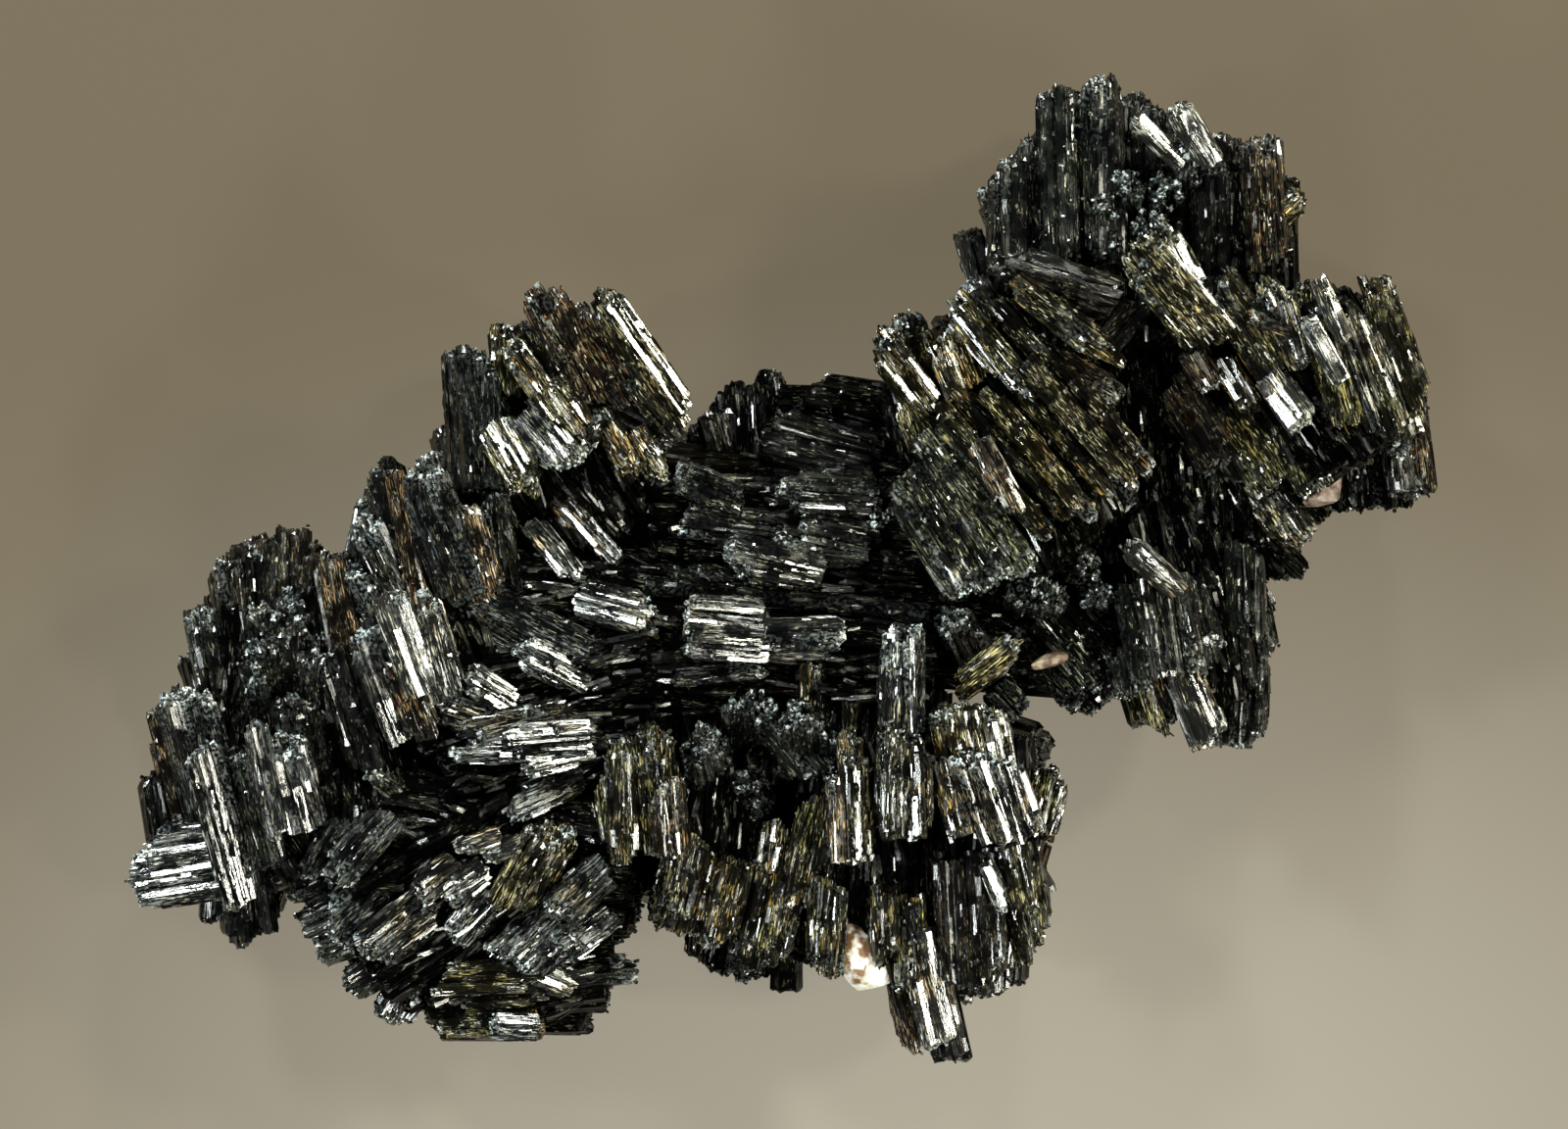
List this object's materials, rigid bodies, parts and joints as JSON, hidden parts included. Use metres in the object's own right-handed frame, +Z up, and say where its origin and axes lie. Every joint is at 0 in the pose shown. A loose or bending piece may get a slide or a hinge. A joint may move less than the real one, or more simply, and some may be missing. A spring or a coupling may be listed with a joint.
{
  "type": "foitite crystal specimen",
  "caption": "Jagged loose cluster of dark tourmaline prism sheaves lying flat, with small light mineral grains caught among the crystals.",
  "frame": {"origin": "centre of the bounding box's footprint, on the surface that the cluster lies on", "axes": "+X along the longest side from the broad lobe to the narrow one, +Y across it, +Z up out of the face that is seen from above"},
  "size_m": [0.0664, 0.0506, 0.0201],
  "materials": {
    "foitite": "vitreous black to olive-bronze striated crystal with pale tips",
    "feldspar": "translucent white grain with an orange-brown stain",
    "mica": "pearly pinkish-brown flake",
    "quartz": "dull translucent pinkish grain"
  },
  "bodies": {
    "root": {"foitite_cluster": "foitite", "feldspar_grain": "feldspar", "mica_flake": "mica", "quartz_grain": "quartz"}
  },
  "joints": []
}
